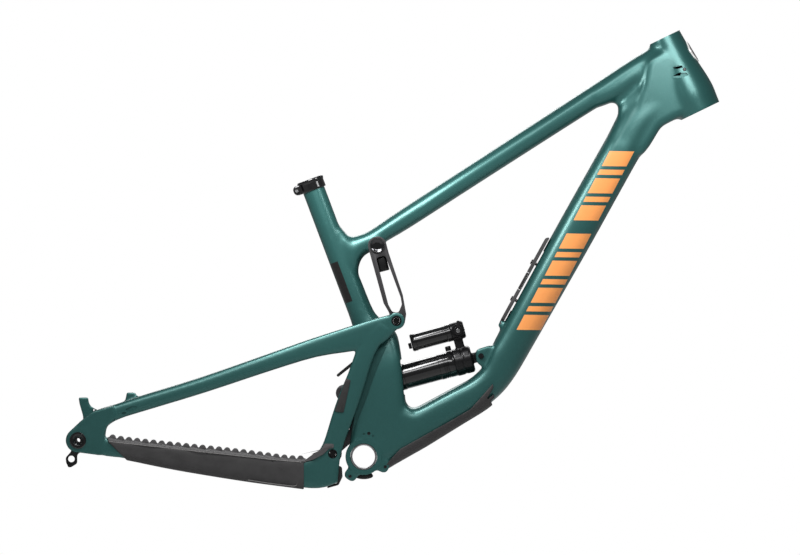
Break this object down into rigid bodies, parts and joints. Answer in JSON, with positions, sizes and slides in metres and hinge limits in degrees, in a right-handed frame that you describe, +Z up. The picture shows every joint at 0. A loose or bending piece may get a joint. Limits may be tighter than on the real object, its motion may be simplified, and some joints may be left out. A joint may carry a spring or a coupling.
{
  "type": "mountain bike frame",
  "caption": "Full-suspension bicycle frame with a linkage-driven swingarm, a piggyback air shock running through the seat tube and a storage door in the down tube.",
  "frame": {"origin": "centre of the bottom bracket shell, where a stand holds the frame", "axes": "+X forward, +Y to the rider's left, +Z up, with the frame in its riding attitude"},
  "size_m": [1.0055, 0.1733, 0.7062],
  "materials": {
    "green_carbon": "satin metallic teal lacquer over carbon",
    "dark_alloy": "dark grey anodised forging",
    "black_alloy": "gloss black anodised",
    "bright_steel": "bright turned steel",
    "grey_rubber": "matte dark grey moulded rubber",
    "black_rubber": "matte black rubber",
    "white_plate": "plain white plate",
    "red_anodised": "red anodised"
  },
  "bodies": {
    "main_frame": {"front_triangle": "green_carbon", "head_tube": "green_carbon", "seat_tube": "green_carbon", "bottom_bracket_shell": "green_carbon", "bottom_bracket_insert": "bright_steel", "head_badge": "white_plate", "seat_collar": "black_alloy", "seat_collar_bolt": "bright_steel", "seat_collar_nut": "black_alloy", "cable_port_left": "black_rubber", "cable_port_right": "black_rubber", "cable_port_screw_left": "bright_steel", "cable_port_screw_right": "bright_steel", "shell_guard": "black_rubber", "downtube_guard": "grey_rubber", "door_hinge_pin": "bright_steel", "tunnel_fender": "black_rubber", "lower_frame_axle": "bright_steel", "upper_frame_axle": "bright_steel", "upper_axle_cap_left": "black_alloy", "upper_axle_cap_right": "black_alloy", "shock_front_bolt": "black_alloy"},
    "upper_rocker": {"upper_link": "dark_alloy", "upper_link_bearing_left": "bright_steel", "upper_link_bearing_right": "bright_steel", "swing_bearing_left": "bright_steel", "swing_bearing_right": "bright_steel"},
    "lower_rocker": {"lower_link": "dark_alloy", "link_frame_bearing_left": "bright_steel", "link_frame_bearing_right": "bright_steel", "link_rear_bearing_left": "bright_steel", "link_rear_bearing_right": "bright_steel", "shock_rear_bolt": "black_alloy"},
    "rear_swingarm": {"swingarm": "green_carbon", "chainstay_guard": "grey_rubber", "swing_bolt_left": "black_alloy", "swing_bolt_right": "black_alloy", "lower_swing_axle": "black_alloy", "yoke_guard": "black_rubber", "rear_axle": "black_alloy", "derailleur_hanger": "black_alloy", "hanger_bolt": "black_alloy"},
    "shock_body": {"shock_head": "black_alloy", "shock_air_can": "black_alloy", "shock_reservoir": "black_alloy", "reservoir_valve_cap": "black_alloy", "air_valve_cap": "black_alloy", "shock_front_bushing": "bright_steel", "travel_ring": "black_rubber"},
    "shock_shaft": {"shock_stanchion": "bright_steel", "shock_rear_eye": "black_alloy"},
    "rebound_adjuster": {"rebound_knob": "red_anodised"},
    "compression_adjuster": {"compression_dial": "black_alloy"},
    "compression_switch": {"compression_lever": "black_alloy"},
    "storage_hatch": {"storage_door": "grey_rubber", "cage_bolt_upper": "black_alloy", "cage_bolt_lower": "black_alloy"},
    "hatch_latch": {"door_latch": "black_alloy"}
  },
  "joints": [
    {"name": "upper_link_pivot", "type": "hinge", "parent": "main_frame", "child": "upper_rocker", "pos_m": [0.0209, 0, 0.3246], "axis": [0, -1, 0], "range_deg": [0, 15.52], "stiffness_Nm_per_rad": 8},
    {"name": "swingarm_pivot", "type": "hinge", "parent": "upper_rocker", "child": "rear_swingarm", "pos_m": [0.0505, 0, 0.2091], "axis": [0, 1, 0], "range_deg": [0, 29.5]},
    {"name": "lower_link_pivot", "type": "hinge", "parent": "main_frame", "child": "lower_rocker", "pos_m": [-0.005, 0, 0.042], "axis": [0, 1, 0], "range_deg": [0, 45.1]},
    {"name": "shock_front_pivot", "type": "hinge", "parent": "main_frame", "child": "shock_body", "pos_m": [0.18065, 0, 0.15492], "axis": [0, -1, 0], "range_deg": [0, 2.6]},
    {"name": "shock_slide", "type": "slide", "parent": "shock_body", "child": "shock_shaft", "axis": [0.9654, 0, 0.2608], "range_m": [0, 0.0462]},
    {"name": "rebound_turn", "type": "hinge", "parent": "shock_shaft", "child": "rebound_adjuster", "pos_m": [-0.0164, 0, 0.11669], "axis": [-0.2608, 0, 0.9654], "range_deg": [0, 270]},
    {"name": "compression_turn", "type": "hinge", "parent": "shock_body", "child": "compression_adjuster", "pos_m": [0.14522, -0.015, 0.19403], "axis": [0, -1, 0], "range_deg": [0, 240]},
    {"name": "lever_turn", "type": "hinge", "parent": "shock_body", "child": "compression_switch", "pos_m": [0.14522, -0.02, 0.19403], "axis": [0, -1, 0], "range_deg": [0, 80]},
    {"name": "hatch_hinge", "type": "hinge", "parent": "main_frame", "child": "storage_hatch", "pos_m": [0.21124, 0, 0.20534], "axis": [0, -1, 0], "range_deg": [0, 60]},
    {"name": "latch_turn", "type": "hinge", "parent": "storage_hatch", "child": "hatch_latch", "pos_m": [0.23725, 0, 0.25894], "axis": [0, -1, 0], "range_deg": [0, 35]}
  ],
  "couplings": [
    {"joint": "swingarm_pivot", "follows": "upper_link_pivot", "ratio": 1.8953},
    {"joint": "lower_link_pivot", "follows": "upper_link_pivot", "ratio": 2.9002},
    {"joint": "shock_front_pivot", "follows": "upper_link_pivot", "ratio": 0.161},
    {"joint": "shock_slide", "follows": "upper_link_pivot", "m_per_rad": 0.16998}
  ]
}
